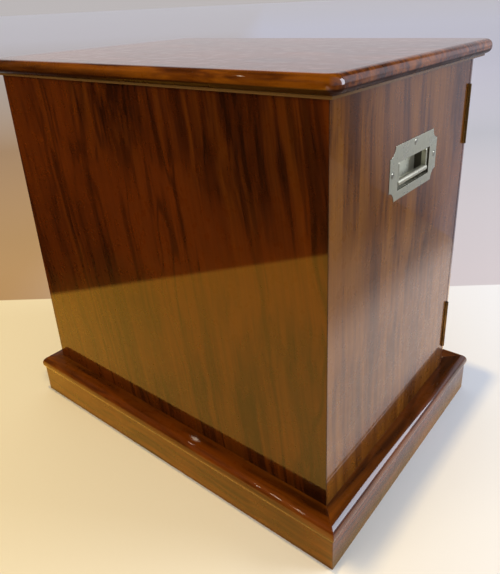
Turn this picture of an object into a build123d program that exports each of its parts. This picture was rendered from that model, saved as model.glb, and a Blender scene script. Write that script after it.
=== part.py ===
from build123d import *
import math
import os

# Cabinet humidor in walnut: a moulded plinth, a boarded body with mitred back corners, a moulded top,
# a framed door on two butt hinges, four cedar drawers behind it and a flush bail handle on each end.
# Millimetres. The origin is the middle of the plinth's underside, X runs to the right as seen from
# the front, Y to the back and Z up.

# Body
body_width = 350.0
body_depth = 241.5
body_height = 308.0
end_thick = 20.0
back_thick = 16.0
lining_thick = 6.0
lining_setback = 3.0

# Plinth
plinth_height = 42.7
plinth_overhang = 15.4
plinth_seat = 2.6
plinth_nose_height = 12.4
plinth_nose_out = 1.5
plinth_nose_lip = 0.6
plinth_nose_roll = 5.4
base_thick = 14.0
glue_block_width = 18.0
glue_block_lift = 3.0

# Moulded top
top_fillet_height = 2.0
top_fillet_out = 3.7
top_nose_height = 12.0
top_nose_out = 9.8
top_nose_round = 5.8
top_corner_radius = 9.0

# Door
door_thick = 17.0
door_gap = 0.8
door_clearance = 1.0
door_edge_radius = 15.0
stile_width = 50.0
rail_width = 50.0
tenon_length = 22.0
tenon_thick = 6.0
tenon_shoulder = 8.0
panel_groove_depth = 6.0
panel_tongue_thick = 5.0
panel_field_rise = 3.5
panel_bevel_start = 7.0
panel_bevel_width = 13.0
panel_play = 0.2
panel_bead_width = 5.0
panel_bead_height = 5.4

# Butt hinges
hinge_length = 50.8
hinge_barrel_radius = 2.0
hinge_axis_out = 0.3
hinge_pin_radius = 0.9
hinge_running_gap = 0.05
hinge_leaf_thick = 1.5
hinge_leaf_width = 14.5
hinge_knuckles = 5
hinge_knuckle_gap = 0.3
hinge_barrel_clearance = 0.4
lower_hinge_rise = 49.6
upper_hinge_drop = 46.4

# Flush bail handles
handle_drop = 66.1
handle_plate_length = 82.0
handle_plate_height = 41.0
handle_plate_thick = 1.6
handle_plate_proud = 0.3
handle_notch_radius = 8.0
handle_opening_length = 54.8
handle_opening_height = 21.0
handle_opening_drop = 3.0
pan_depth = 13.0
pan_wall = 1.2
pan_pocket_clearance = 0.3
bail_side_gap = 2.2
bail_foot_gap = 2.2
bail_arm_width = 2.0
bail_arm_thick = 3.6
bail_grip_height = 5.0
bail_grip_thick = 5.2
bail_pivot_drop = 2.1
bail_pivot_depth = 2.4
bail_pin_radius = 0.9
bail_running_gap = 0.05

# Lock
lock_key_inset = 28.0
lock_case_depth = 9.5
lock_case_wall = 1.1
lock_room = 1.0
lock_cover_thick = 1.2
lock_bolt_throw = 7.0
lock_bolt_height = 6.5
lock_bolt_thick = 3.0
lock_bolt_drop = 4.5
lock_bolt_play = 0.3
lock_bolt_tail = 7.5
lock_bolt_nose = 14.0
lock_notch_before = 1.4
lock_notch_after = 2.7
lock_notch_depth = 3.2
key_bit_reach = 7.0
key_bit_thick = 1.4
key_shank_radius = 1.6
key_shank_play = 0.3
key_bow_stand = 2.5
key_bow_radius = 7.4
key_bow_bar = 2.6
key_bow_thick = 2.4
escutcheon_width = 12.0
escutcheon_height = 21.0
escutcheon_thick = 1.2
escutcheon_proud = 0.3
staple_bar = 1.8
staple_play = 0.5
staple_reach = 7.2
link_plate_width = 12.0
link_plate_height = 32.0
link_plate_thick = 1.5

# Drawers
drawer_count = 4
drawer_setback = 16.0
drawer_foot_gap = 1.0
drawer_between_gap = 1.5
drawer_side_gap = 0.7
drawer_end_gap = 2.0
drawer_front_thick = 12.0
drawer_front_chamfer = 0.8
drawer_side_thick = 9.0
drawer_back_thick = 8.0
drawer_top_drop = 3.0
drawer_bottom_thick = 4.0
drawer_bottom_rise = 5.0
drawer_bottom_groove = 3.0
drawer_lap = 3.5
drawer_tails = 3
tail_root_share = 0.46
tail_tip_share = 0.70
runner_height = 8.0
runner_play = 0.25
runner_groove_depth = 4.0
runner_side_play = 0.4
runner_front_gap = 2.0
knob_length = 13.0
knob_head_radius = 6.2
knob_head_thick = 5.0
knob_neck_radius = 3.4
knob_neck_sides = 8

# Moistener under the top
moistener_length = 190.0
moistener_width = 100.0
moistener_height = 15.0
moistener_wall = 1.0
moistener_flange = 10.0
moistener_forward = 20.0
moistener_clay_play = 0.4
moistener_slot_width = 6.0
moistener_slot_length = 34.0
moistener_slot_columns = 7
moistener_slot_rows = 2
moistener_room = 1.0

# How far a cutter runs past what it cuts
cut_past = 1.0

# Planes and heights that the pieces share
half_width = body_width / 2
half_depth = body_depth / 2
body_top = plinth_height + body_height
carcass_front = -half_depth + door_thick + door_gap
door_front = -half_depth
door_back = door_front + door_thick
door_low = plinth_height + door_clearance
door_high = body_top - door_clearance
inner_half = half_width - end_thick
inner_back = half_depth - back_thick
lined_half = inner_half - lining_thick
lined_back = inner_back - lining_thick
lined_low = plinth_height + lining_thick
lined_high = body_top - lining_thick
lining_front = carcass_front + lining_setback
hinge_x = -half_width - hinge_axis_out
hinge_y = carcass_front - door_gap / 2
hinge_heights = (plinth_height + lower_hinge_rise, body_top - upper_hinge_drop)


def block(x, y, z):
    """A board between two values on each axis."""
    size = (x[1] - x[0], y[1] - y[0], z[1] - z[0])
    return Pos(x[0], y[0], z[0]) * Box(*size, align=(Align.MIN, Align.MIN, Align.MIN))


def upright(x, y, z, radius):
    """A vertical rod, from z[0] to z[1]."""
    return Pos(x, y, z[0]) * Cylinder(radius, z[1] - z[0], align=(Align.CENTER, Align.CENTER, Align.MIN))


def prism(points, low, high, plane=Plane.XY):
    """A straight prism over a closed outline, between two heights above its plane."""
    outline = make_face(Polyline(*points, close=True))
    lift = Pos(0, 0, low) * outline
    return plane * extrude(lift, amount=high - low, dir=(0, 0, 1))


def mirrored(shape):
    """The same shape on the cabinet's other end."""
    return mirror(shape, about=Plane.YZ)


def mitred_frame(section, half_x, half_y, inward, outward, tall):
    """Four mitred lengths of moulding round a rectangle, in the order back, left, front, right.

    The section is a face in the YZ plane, with Y measured out from the rectangle's side.
    """
    lengths = []
    for turn, run, offset in ((0, half_x, half_y), (90, half_y, half_x)):
        bar = extrude(Pos(0, offset, 0) * section, amount=run + outward, both=True)
        far = offset + outward
        near = offset - inward
        plan = (
            (-run - outward, far),
            (run + outward, far),
            (run - inward, near),
            (-run + inward, near),
        )
        length = bar & prism(plan, -tall, tall)
        lengths.append(Rot(0, 0, turn) * length)
        lengths.append(Rot(0, 0, turn + 180) * length)
    back, front, left, right = lengths
    return back, left, front, right


# Plinth, base and top

def plinth_section():
    """The plinth moulding: a flat face under a rounded nose, flat on top."""
    face = plinth_overhang
    nose = plinth_overhang + plinth_nose_out
    step = plinth_height - plinth_nose_height
    edges = [
        Line((-plinth_seat, 0), (face, 0)),
        Line((face, 0), (face, step)),
        Line((face, step), (face + plinth_nose_lip, step)),
        ThreePointArc(
            (face + plinth_nose_lip, step),
            (nose, step + plinth_nose_height / 2),
            (nose - plinth_nose_roll, plinth_height),
        ),
        Line((nose - plinth_nose_roll, plinth_height), (-plinth_seat, plinth_height)),
        Line((-plinth_seat, plinth_height), (-plinth_seat, 0)),
    ]
    return Plane.YZ * make_face(edges)


def build_plinth():
    """Four mitred mouldings, the base board between them and a glue block in each corner."""
    outward = plinth_overhang + plinth_nose_out + cut_past
    mouldings = mitred_frame(
        plinth_section(), half_width, half_depth, plinth_seat, outward, 2 * plinth_height
    )
    frame_x = half_width - plinth_seat
    frame_y = half_depth - plinth_seat
    base_low = plinth_height - base_thick
    base = block((-frame_x, frame_x), (-frame_y, frame_y), (base_low, plinth_height))
    reach_x = frame_x - glue_block_width
    reach_y = frame_y - glue_block_width
    blocks = []
    for side_x in (-1, 1):
        for side_y in (-1, 1):
            plan = (
                (side_x * frame_x, side_y * frame_y),
                (side_x * reach_x, side_y * frame_y),
                (side_x * frame_x, side_y * reach_y),
            )
            blocks.append(prism(plan, glue_block_lift, base_low))
    return mouldings, base, blocks


def build_top():
    """The top board: a thin fillet under a slab with a rounded nose, round at its plan corners."""
    fillet_x = body_width + 2 * top_fillet_out
    fillet_y = body_depth + 2 * top_fillet_out
    nose_x = body_width + 2 * top_nose_out
    nose_y = body_depth + 2 * top_nose_out
    band = extrude(Rectangle(fillet_x, fillet_y), amount=top_fillet_height)
    slab = extrude(RectangleRounded(nose_x, nose_y, top_corner_radius), amount=top_nose_height)
    rims = slab.faces().sort_by(Axis.Z)
    slab = fillet(rims[0].edges() + rims[-1].edges(), top_nose_round)
    return Pos(0, 0, body_top) * band + Pos(0, 0, body_top + top_fillet_height) * slab


# Body boards and linings

def end_board():
    """The right end board, mitred to the back at its rear edge."""
    plan = (
        (inner_half, carcass_front),
        (half_width, carcass_front),
        (half_width, half_depth),
        (inner_half, inner_back),
    )
    return prism(plan, plinth_height, body_top)


def back_board():
    """The back board, mitred to both ends."""
    plan = (
        (-half_width, half_depth),
        (half_width, half_depth),
        (inner_half, inner_back),
        (-inner_half, inner_back),
    )
    return prism(plan, plinth_height, body_top)


def build_linings():
    """Thin cedar boards on the inside of each wall."""
    side = block((lined_half, inner_half), (lining_front, inner_back), (plinth_height, body_top))
    span = (-lined_half, lined_half)
    back = block(span, (lined_back, inner_back), (plinth_height, body_top))
    floor = block(span, (lining_front, lined_back), (plinth_height, lined_low))
    roof = block(span, (lining_front, lined_back), (lined_high, body_top))
    return {
        "lining_left": mirrored(side),
        "lining_right": side,
        "lining_back": back,
        "lining_bottom": floor,
        "lining_top": roof,
    }


# Flush bail handles, built about a point on the end face with Z outwards and Y up

opening_middle = -handle_opening_drop
opening_top = opening_middle + handle_opening_height / 2
opening_foot = opening_middle - handle_opening_height / 2
bail_pivot_y = opening_top - bail_pivot_drop
plate_back = handle_plate_proud - handle_plate_thick
pan_length = handle_opening_length + 2 * pan_wall
pan_height = handle_opening_height + 2 * pan_wall


def plate_outline():
    """A rectangle with a round notch out of each corner."""
    outline = Rectangle(handle_plate_length, handle_plate_height)
    for side_x in (-1, 1):
        for side_y in (-1, 1):
            corner = Pos(side_x * handle_plate_length / 2, side_y * handle_plate_height / 2)
            outline -= corner * Circle(handle_notch_radius)
    return outline


def handle_plate():
    """The plate with its opening."""
    outline = plate_outline() - Pos(0, opening_middle) * Rectangle(
        handle_opening_length, handle_opening_height
    )
    return extrude(Pos(0, 0, plate_back) * outline, amount=handle_plate_thick)


def bail_pivot(radius, side):
    """A rod along the bail's pivot, from the pan's outer wall to the arm's inner face."""
    outer = pan_length / 2
    inner = handle_opening_length / 2 - bail_side_gap - bail_arm_width
    centre = Pos(side * (outer + inner) / 2, bail_pivot_y, -bail_pivot_depth)
    return centre * Rot(0, 90, 0) * Cylinder(radius, outer - inner)


def handle_pan():
    """The sunk pan behind the plate, with the bail's pivot holes in its ends."""
    floor = -pan_depth + pan_wall
    outer = Pos(0, opening_middle, (plate_back - pan_depth) / 2) * Box(
        pan_length, pan_height, plate_back + pan_depth
    )
    hollow = Pos(0, opening_middle, (plate_back + floor) / 2) * Box(
        handle_opening_length, handle_opening_height, plate_back - floor
    )
    pan = outer - hollow
    for side in (-1, 1):
        pan -= bail_pivot(bail_pin_radius + bail_running_gap, side)
    return pan


def bail():
    """A hanging frame: a rounded grip, two flat arms with round eyes, and a pivot pin at each eye."""
    outer = handle_opening_length / 2 - bail_side_gap
    grip_y = opening_foot + bail_foot_gap + bail_grip_height / 2
    rise = bail_pivot_y - grip_y
    section = SlotOverall(bail_grip_thick, bail_grip_height, rotation=90)
    frame = extrude(Plane.YZ * Pos(grip_y, -bail_pivot_depth) * section, amount=outer, both=True)
    for side in (-1, 1):
        arm_x = side * (outer - bail_arm_width / 2)
        arm = Pos(arm_x, grip_y + rise / 2, -bail_pivot_depth) * Box(
            bail_arm_width, rise, bail_arm_thick
        )
        eye = Pos(arm_x, bail_pivot_y, -bail_pivot_depth) * Rot(0, 90, 0) * Cylinder(
            bail_arm_thick / 2, bail_arm_width
        )
        frame += arm + eye + bail_pivot(bail_pin_radius, side)
    return frame


def build_handle():
    """Plate, pan and bail, and the pocket that the end board needs."""
    recess = extrude(Pos(0, 0, plate_back) * plate_outline(), amount=handle_plate_thick)
    pocket_depth = pan_depth + pan_pocket_clearance
    pocket = Pos(0, opening_middle, -pocket_depth / 2) * Box(
        pan_length + 2 * pan_pocket_clearance,
        pan_height + 2 * pan_pocket_clearance,
        pocket_depth,
    )
    pieces = {"handle_plate": handle_plate(), "handle_pan": handle_pan(), "bail": bail()}
    return pieces, recess + pocket


def handle_plane(side):
    """Where a handle sits: on the end face, looking outwards."""
    origin = (side * half_width, 0, body_top - handle_drop)
    return Plane(origin=origin, x_dir=(0, side, 0), z_dir=(side, 0, 0))


# Butt hinges

def hinge_cylinder(radius, low, high):
    """A rod on the hinge axis."""
    return upright(hinge_x, hinge_y, (low, high), radius)


def hinge_leaf(side, height):
    """One leaf with its knuckles: side 1 is the cabinet's, which holds the pin, and -1 the door's."""
    bottom = height - hinge_length / 2
    top = height + hinge_length / 2
    near = hinge_y + side * door_gap / 2
    far = near + side * hinge_leaf_thick
    across = (hinge_x, hinge_x + hinge_leaf_width)
    leaf = block(across, (min(near, far), max(near, far)), (bottom, top))
    pitch = hinge_length / hinge_knuckles
    for index in range(hinge_knuckles):
        low = bottom + index * pitch
        high = low + pitch
        own = (index % 2 == 0) == (side > 0)
        if own:
            if index > 0:
                low += hinge_knuckle_gap / 2
            if index < hinge_knuckles - 1:
                high -= hinge_knuckle_gap / 2
            leaf += hinge_cylinder(hinge_barrel_radius, low, high)
        else:
            leaf -= hinge_cylinder(hinge_barrel_radius + hinge_barrel_clearance, low, high)
    if side > 0:
        return leaf + hinge_cylinder(hinge_pin_radius, bottom, top)
    return leaf - hinge_cylinder(hinge_pin_radius + hinge_running_gap, bottom, top)


def hinge_recess(side, height):
    """What a leaf and its barrel take out of the wood beside them."""
    bottom = height - hinge_length / 2
    top = height + hinge_length / 2
    near = hinge_y
    far = hinge_y + side * (door_gap / 2 + hinge_leaf_thick)
    across = (hinge_x, hinge_x + hinge_leaf_width)
    recess = block(across, (min(near, far), max(near, far)), (bottom, top))
    barrel = hinge_cylinder(
        hinge_barrel_radius + hinge_barrel_clearance,
        bottom - hinge_barrel_clearance,
        top + hinge_barrel_clearance,
    )
    return recess + barrel


def build_hinges(end, stile):
    """Both hinges, and the end board and door stile cut for them."""
    leaves = {1: [], -1: []}
    wood = {1: end, -1: stile}
    for height in hinge_heights:
        for side in (1, -1):
            wood[side] -= hinge_recess(side, height)
            leaves[side].append(hinge_leaf(side, height))
    nodes = {"hinge_cabinet_leaves": leaves[1], "hinge_door_leaves": leaves[-1]}
    return nodes, wood[1], wood[-1]


# Door

stile_inner = half_width - stile_width
rail_inner_low = door_low + rail_width
rail_inner_high = door_high - rail_width
door_middle = (door_low + door_high) / 2
tongue_back = door_front + (door_thick + panel_tongue_thick) / 2
tongue_front = tongue_back - panel_tongue_thick


def door_stile():
    """The right stile, with its outer front edge rounded and a groove for the panel."""
    stile = block((stile_inner, half_width), (door_front, door_back), (door_low, door_high))
    edge = stile.edges().filter_by(Axis.Z).sort_by(lambda each: each.center().Y - each.center().X)[0]
    stile = fillet(edge, door_edge_radius)
    groove = block(
        (stile_inner, stile_inner + panel_groove_depth),
        (tongue_front, tongue_back),
        (rail_inner_low - panel_groove_depth, rail_inner_high + panel_groove_depth),
    )
    return stile - groove


def tenons():
    """The two tenons of each rail on the door's right, between shoulders."""
    middle = (door_front + door_back) / 2
    thick = (middle - tenon_thick / 2, middle + tenon_thick / 2)
    across = (stile_inner, stile_inner + tenon_length)
    low = block(across, thick, (door_low + tenon_shoulder, rail_inner_low - tenon_shoulder))
    high = block(across, thick, (rail_inner_high + tenon_shoulder, door_high - tenon_shoulder))
    return low, high


def door_rail(low, high, tenon, groove_low, groove_high):
    """A rail between the stiles, grooved for the panel and tenoned at both ends."""
    across = (-stile_inner, stile_inner)
    rail = block(across, (door_front, door_back), (low, high))
    rail -= block(across, (tongue_front, tongue_back), (groove_low, groove_high))
    return rail + tenon + mirrored(tenon)


def door_panel():
    """A panel with a raised field: thin tongues in the grooves and a bevel all round."""
    reach = panel_groove_depth - panel_play
    half_x = stile_inner
    half_z = (rail_inner_high - rail_inner_low) / 2
    on_face = Plane(origin=(0, tongue_front, door_middle), x_dir=(1, 0, 0), z_dir=(0, -1, 0))
    tongue = block(
        (-half_x - reach, half_x + reach),
        (tongue_front + panel_play, tongue_back - panel_play),
        (door_middle - half_z - reach, door_middle + half_z + reach),
    )
    foot = Rectangle(2 * (half_x - panel_bevel_start), 2 * (half_z - panel_bevel_start))
    inset = panel_bevel_start + panel_bevel_width
    crown = Rectangle(2 * (half_x - inset), 2 * (half_z - inset))
    field = loft([Pos(0, 0, -panel_play) * foot, Pos(0, 0, panel_field_rise) * crown], ruled=True)
    return tongue + on_face * field


def panel_beads():
    """A quarter-round bead round the panel, mitred at its corners."""
    edges = [
        Line((0, -panel_play), (0, panel_bead_height)),
        ThreePointArc(
            (0, panel_bead_height),
            (-panel_bead_width * math.sqrt(0.5), panel_bead_height * math.sqrt(0.5)),
            (-panel_bead_width, 0),
        ),
        Line((-panel_bead_width, 0), (-panel_bead_width, -panel_play)),
        Line((-panel_bead_width, -panel_play), (0, -panel_play)),
    ]
    section = Plane.YZ * make_face(edges)
    half_z = (rail_inner_high - rail_inner_low) / 2
    beads = mitred_frame(section, stile_inner, half_z, panel_bead_width, 0, 2 * panel_bead_height)
    on_face = Plane(origin=(0, tongue_front, door_middle), x_dir=(1, 0, 0), z_dir=(0, -1, 0))
    return [on_face * bead for bead in beads]


def build_door():
    """Stiles, rails, panel and beads, before hinges and lock are let in."""
    low_tenon, high_tenon = tenons()
    right = door_stile() - low_tenon - high_tenon
    top = door_rail(
        rail_inner_high, door_high, high_tenon, rail_inner_high, rail_inner_high + panel_groove_depth
    )
    bottom = door_rail(
        door_low, rail_inner_low, low_tenon, rail_inner_low - panel_groove_depth, rail_inner_low
    )
    return {
        "door_hinge_stile": mirrored(right),
        "door_lock_stile": right,
        "door_top_rail": top,
        "door_bottom_rail": bottom,
        "door_panel": door_panel(),
        "door_panel_beads": panel_beads(),
    }


# Lock on the door's right stile, about the key's axis

key_x = half_width - lock_key_inset
key_z = door_middle
lock_front = door_back - lock_case_depth
cover_front = door_back - lock_cover_thick
bolt_back = cover_front - lock_bolt_play
bolt_front = bolt_back - lock_bolt_thick
bolt_top = key_z - lock_bolt_drop
bolt_low = bolt_top - lock_bolt_height
bolt_end = key_x + lock_bolt_nose
staple_x = bolt_end + lock_bolt_throw / 2
staple_tip = carcass_front - staple_reach
slot_low = bolt_low - 2 * staple_play - staple_bar
slot_high = bolt_top + 2 * staple_play + staple_bar
lock_left = key_x - max(key_bit_reach, lock_bolt_tail) - lock_room - lock_case_wall
lock_right = bolt_end + lock_bolt_throw + lock_room + lock_case_wall
lock_low = slot_low - lock_case_wall
lock_high = key_z + key_bit_reach + lock_room + lock_case_wall


def key_rod(radius, front, back):
    """A rod on the key's axis."""
    return Pos(key_x, (front + back) / 2, key_z) * Rot(90, 0, 0) * Cylinder(radius, back - front)


def keyhole(grow, front, back):
    """The key's way in: a round hole for the shank and a slot below it for the bit."""
    shank = key_rod(key_shank_radius + grow, front, back)
    slot = block(
        (key_x - key_bit_thick / 2 - grow, key_x + key_bit_thick / 2 + grow),
        (front, back),
        (key_z - key_bit_reach - grow, key_z),
    )
    return shank + slot


def lock_case():
    """A brass box, open towards the door's back, with the keyhole in its front."""
    case = block((lock_left, lock_right), (lock_front, cover_front), (lock_low, lock_high))
    case -= block(
        (lock_left + lock_case_wall, lock_right - lock_case_wall),
        (lock_front + lock_case_wall, cover_front),
        (lock_low + lock_case_wall, lock_high - lock_case_wall),
    )
    return case - keyhole(key_shank_play, lock_front, lock_front + lock_case_wall)


def staple():
    """The loop that the bolt passes, standing forward from the link plate."""
    loop_low = bolt_low - staple_play - staple_bar
    loop_high = bolt_top + staple_play + staple_bar
    across = (staple_x - staple_bar / 2, staple_x + staple_bar / 2)
    loop = block(across, (staple_tip, carcass_front), (loop_low, loop_high))
    corners = loop.edges().filter_by(Axis.X).sort_by(Axis.Y)[:2]
    loop = fillet(corners, staple_bar)
    loop -= block(
        across,
        (bolt_front - staple_play, bolt_back + staple_play),
        (bolt_low - staple_play, bolt_top + staple_play),
    )
    return loop


def staple_slot():
    """The gap in the lock's cover that the staple enters by."""
    return block(
        (staple_x - staple_bar / 2 - staple_play, staple_x + staple_bar / 2 + staple_play),
        (cover_front, door_back),
        (slot_low, slot_high),
    )


def lock_bolt():
    """The sliding bolt, notched for the key's bit."""
    bolt = block((key_x - lock_bolt_tail, bolt_end), (bolt_front, bolt_back), (bolt_low, bolt_top))
    notch = block(
        (key_x - lock_notch_before, key_x + lock_notch_after),
        (bolt_front, bolt_back),
        (bolt_top - lock_notch_depth, bolt_top),
    )
    return bolt - notch


def key():
    """A small key: a ring bow, a shank and a bit."""
    bow_back = door_front - escutcheon_proud - key_bow_stand
    tip = cover_front - lock_bolt_play
    shank = key_rod(key_shank_radius, bow_back - key_bow_bar / 2, tip)
    ring = Circle(key_bow_radius) - Circle(key_bow_radius - key_bow_bar)
    bow_y = bow_back - key_bow_radius
    bow_plane = Plane(origin=(key_x, bow_y, key_z), x_dir=(0, 0, 1), z_dir=(1, 0, 0))
    bow = bow_plane * extrude(ring, amount=key_bow_thick / 2, both=True)
    bit = block(
        (key_x - key_bit_thick / 2, key_x + key_bit_thick / 2),
        (bolt_front, tip),
        (key_z - key_bit_reach, key_z),
    )
    return shank + bow + bit


def escutcheon():
    """A flush brass plate about the keyhole."""
    face = door_front - escutcheon_proud
    plane = Plane(origin=(key_x, face, key_z), x_dir=(1, 0, 0), z_dir=(0, 1, 0))
    return plane * extrude(Rectangle(escutcheon_width, escutcheon_height), amount=escutcheon_thick)


def build_lock(stile, end):
    """The lock's pieces, with the stile and the right end board cut for them."""
    case_mortise = block((lock_left, lock_right), (lock_front, door_back), (lock_low, lock_high))
    plate = escutcheon()
    through = keyhole(key_shank_play, door_front, lock_front)
    stile = stile - case_mortise - plate - through
    cover = block((lock_left, lock_right), (cover_front, door_back), (lock_low, lock_high))
    cover -= staple_slot()
    link_middle = (bolt_low + bolt_top) / 2
    link_x = (staple_x - link_plate_width / 2, staple_x + link_plate_width / 2)
    link_z = (link_middle - link_plate_height / 2, link_middle + link_plate_height / 2)
    link = block(link_x, (carcass_front, carcass_front + link_plate_thick), link_z)
    nodes = {
        "lock_case": lock_case(),
        "lock_cover": cover,
        "lock_bolt": lock_bolt(),
        "key": key(),
        "escutcheon": plate - keyhole(key_shank_play, door_front - escutcheon_proud, lock_front),
        "link_plate": link + staple(),
    }
    return nodes, stile, end - link


# Drawers and runners

drawer_half = lined_half - drawer_side_gap
drawer_front_y = carcass_front + drawer_setback
box_front_y = drawer_front_y + drawer_front_thick
drawer_back_y = lined_back - drawer_end_gap
drawers_low = lined_low + drawer_foot_gap
drawers_high = lined_high - moistener_height - moistener_room
drawer_pitch = (drawers_high - drawers_low + drawer_between_gap) / drawer_count
drawer_height = drawer_pitch - drawer_between_gap


def dovetails(root_y, tip_y, low, high):
    """Tails on the right side of a drawer, widening from root to tip."""
    pitch = (high - low) / drawer_tails
    tails = []
    for index in range(drawer_tails):
        middle = low + (index + 0.5) * pitch
        root = tail_root_share * pitch / 2
        tip = tail_tip_share * pitch / 2
        outline = (
            (root_y, middle - root),
            (tip_y, middle - tip),
            (tip_y, middle + tip),
            (root_y, middle + root),
        )
        tails.append(prism(outline, drawer_half - drawer_side_thick, drawer_half, Plane.YZ))
    return tails


def joined(solids):
    """Several solids as one cutter."""
    total = solids[0]
    for solid in solids[1:]:
        total = total + solid
    return total


def drawer_knob():
    """A knob standing along Z from Z = 0: a round head on a faceted neck."""
    neck = extrude(RegularPolygon(knob_neck_radius, knob_neck_sides), amount=knob_length)
    head_low = knob_length - knob_head_thick
    return neck + Pos(0, 0, head_low) * extrude(Circle(knob_head_radius), amount=knob_head_thick)


def build_drawer(low):
    """A walnut front lap-dovetailed to a cedar box, with its bottom in grooves and a brass knob."""
    front_high = low + drawer_height
    side_high = front_high - drawer_top_drop
    bottom_low = low + drawer_bottom_rise
    bottom_high = bottom_low + drawer_bottom_thick
    tail_length = drawer_front_thick - drawer_lap
    across = (-drawer_half, drawer_half)
    inner = drawer_half - drawer_side_thick
    back_front_y = drawer_back_y - drawer_back_thick

    front = block(across, (drawer_front_y, box_front_y), (low, front_high))
    front = chamfer(front.faces().sort_by(Axis.Y)[0].edges(), drawer_front_chamfer)
    front_tails = joined(dovetails(box_front_y, box_front_y - tail_length, low, side_high))
    back_tails = joined(dovetails(back_front_y, drawer_back_y, bottom_high, side_high))

    bottom = block(
        (-inner - drawer_bottom_groove, inner + drawer_bottom_groove),
        (box_front_y - drawer_bottom_groove, drawer_back_y),
        (bottom_low, bottom_high),
    )
    side = block((inner, drawer_half), (box_front_y, drawer_back_y), (low, side_high))
    corner = block((inner, drawer_half), (back_front_y, drawer_back_y), (bottom_high, side_high))
    side = (side - corner) + back_tails + front_tails - bottom
    back = block(across, (back_front_y, drawer_back_y), (bottom_high, side_high))
    back = back - back_tails - mirrored(back_tails)
    front = front - front_tails - mirrored(front_tails) - bottom

    groove_middle = (low + side_high) / 2
    groove_half = runner_height / 2 + runner_play
    groove = block(
        (drawer_half - runner_groove_depth, drawer_half),
        (box_front_y, drawer_back_y),
        (groove_middle - groove_half, groove_middle + groove_half),
    )
    side = side - groove
    back = back - groove - mirrored(groove)

    knob_middle = (0, drawer_front_y, (low + front_high) / 2)
    knob = Plane(origin=knob_middle, x_dir=(1, 0, 0), z_dir=(0, -1, 0)) * drawer_knob()
    runner = block(
        (drawer_half - runner_groove_depth + runner_side_play, lined_half),
        (box_front_y + runner_front_gap, lined_back),
        (groove_middle - runner_height / 2, groove_middle + runner_height / 2),
    )
    pieces = {
        "front": front,
        "sides": [side, mirrored(side)],
        "back": back,
        "bottom": bottom,
        "knob": knob,
    }
    return pieces, [runner, mirrored(runner)]


# Moistener

def build_moistener():
    """A tinned box under the top lining, holding a porous block over a slotted cover."""
    high = lined_high
    low = high - moistener_height
    middle_y = -moistener_forward
    half_x = moistener_length / 2
    half_y = moistener_width / 2
    y_range = (middle_y - half_y, middle_y + half_y)
    cover_high = low + moistener_wall
    case = block((-half_x, half_x), y_range, (cover_high, high))
    case -= block(
        (-half_x + moistener_wall, half_x - moistener_wall),
        (y_range[0] + moistener_wall, y_range[1] - moistener_wall),
        (cover_high, high - moistener_wall),
    )
    flange_x = half_x + moistener_flange
    case += block((-flange_x, flange_x), y_range, (high - moistener_wall, high))
    inset = moistener_wall + moistener_clay_play
    clay = block(
        (-half_x + inset, half_x - inset),
        (y_range[0] + inset, y_range[1] - inset),
        (cover_high, high - inset),
    )
    cover = block((-half_x, half_x), y_range, (low, cover_high))
    pitch_x = moistener_length / moistener_slot_columns
    pitch_y = moistener_width / moistener_slot_rows
    slot = Box(moistener_slot_width, moistener_slot_length, 2 * moistener_wall)
    for place in GridLocations(pitch_x, pitch_y, moistener_slot_columns, moistener_slot_rows):
        cover -= Pos(0, middle_y, (low + cover_high) / 2) * place * slot
    return {"moistener_case": case, "moistener_block": clay, "moistener_cover": cover}


def build_cabinet():
    """Every node of the cabinet by name."""
    nodes = {}
    mouldings, base, blocks = build_plinth()
    for name, moulding in zip(("back", "left", "front", "right"), mouldings):
        nodes["plinth_" + name] = moulding
    nodes["base_board"] = base
    nodes["plinth_glue_blocks"] = blocks
    nodes["top_board"] = build_top()
    nodes["back_board"] = back_board()
    nodes.update(build_linings())

    right_end = end_board()
    left_end = mirrored(right_end)
    for side, name in ((-1, "left"), (1, "right")):
        plane = handle_plane(side)
        pieces, cutter = build_handle()
        if side < 0:
            left_end -= plane * cutter
        else:
            right_end -= plane * cutter
        for piece, shape in pieces.items():
            nodes[f"{name}_{piece}"] = plane * shape

    nodes.update(build_door())
    hinges, left_end, hinge_stile = build_hinges(left_end, nodes["door_hinge_stile"])
    nodes.update(hinges)
    lock, lock_stile, right_end = build_lock(nodes["door_lock_stile"], right_end)
    nodes.update(lock)
    nodes["door_hinge_stile"] = hinge_stile
    nodes["door_lock_stile"] = lock_stile
    nodes["end_board_left"] = left_end
    nodes["end_board_right"] = right_end

    runners = []
    for index in range(drawer_count):
        pieces, pair = build_drawer(drawers_low + index * drawer_pitch)
        runners += pair
        for piece, shape in pieces.items():
            nodes[f"drawer_{index + 1}_{piece}"] = shape
    nodes["drawer_runners"] = runners

    nodes.update(build_moistener())
    return nodes


def write(nodes):
    """One file for each node, a group of separate solids where it has several."""
    os.makedirs("parts", exist_ok=True)
    for name, shape in nodes.items():
        solids = []
        for each in shape if isinstance(shape, list) else [shape]:
            solids += each.solids()
        whole = solids[0] if len(solids) == 1 else Compound(children=solids)
        export_step(whole, f"parts/{name}.step")


write(build_cabinet())
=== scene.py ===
import math

import bmesh
import bpy
from mathutils import Matrix, Vector


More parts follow.
